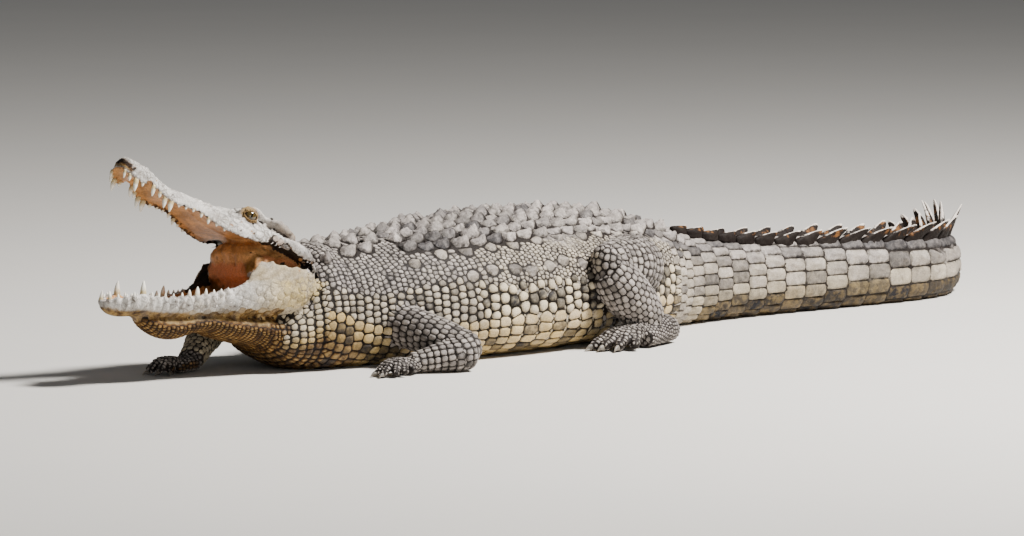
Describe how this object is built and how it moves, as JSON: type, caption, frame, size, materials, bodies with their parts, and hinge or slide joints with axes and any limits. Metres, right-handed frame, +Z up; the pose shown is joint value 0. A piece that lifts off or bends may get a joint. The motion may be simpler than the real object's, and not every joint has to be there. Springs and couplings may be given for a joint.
{
  "type": "crocodile",
  "caption": "Life-size still model of a basking crocodile, mouth agape, with scaled hide, crested tail curled round at its end and four spread feet on the floor.",
  "frame": {"origin": "on the floor under the middle of the belly, where the flat underside rests", "axes": "+X towards the tail (the head is at -X), +Y to the animal's right, +Z up"},
  "size_m": [3.1868, 1.016, 0.5435],
  "materials": {
    "back_hide": "dry scaled hide, matt",
    "limb_hide": "dry scaled hide, matt",
    "pouch": "soft scaled skin, matt",
    "mouth": "moist skin, satin",
    "eye": "wet gloss",
    "claw": "horn, satin"
  },
  "bodies": {
    "root": {"upper_head": "back_hide", "left_eye": "eye", "right_eye": "eye", "lower_jaw": "back_hide", "left_jaw_muscle": "mouth", "right_jaw_muscle": "mouth", "throat_valve": "mouth", "tongue": "mouth", "throat_pouch": "pouch", "neck": "back_hide", "chest": "back_hide", "belly": "back_hide", "hips": "back_hide", "tail_1": "back_hide", "tail_2": "back_hide", "tail_3": "back_hide", "tail_4": "back_hide", "tail_5": "back_hide", "left_front_upper": "limb_hide", "left_front_lower": "limb_hide", "left_front_foot": "limb_hide", "left_front_claw_1": "claw", "left_front_claw_2": "claw", "left_front_claw_3": "claw", "right_front_upper": "limb_hide", "right_front_lower": "limb_hide", "right_front_foot": "limb_hide", "right_front_claw_1": "claw", "right_front_claw_2": "claw", "right_front_claw_3": "claw", "left_hind_upper": "limb_hide", "left_hind_lower": "limb_hide", "left_hind_foot": "limb_hide", "left_hind_claw_1": "claw", "left_hind_claw_2": "claw", "left_hind_claw_3": "claw", "right_hind_upper": "limb_hide", "right_hind_lower": "limb_hide", "right_hind_foot": "limb_hide", "right_hind_claw_1": "claw", "right_hind_claw_2": "claw", "right_hind_claw_3": "claw"}
  },
  "joints": []
}
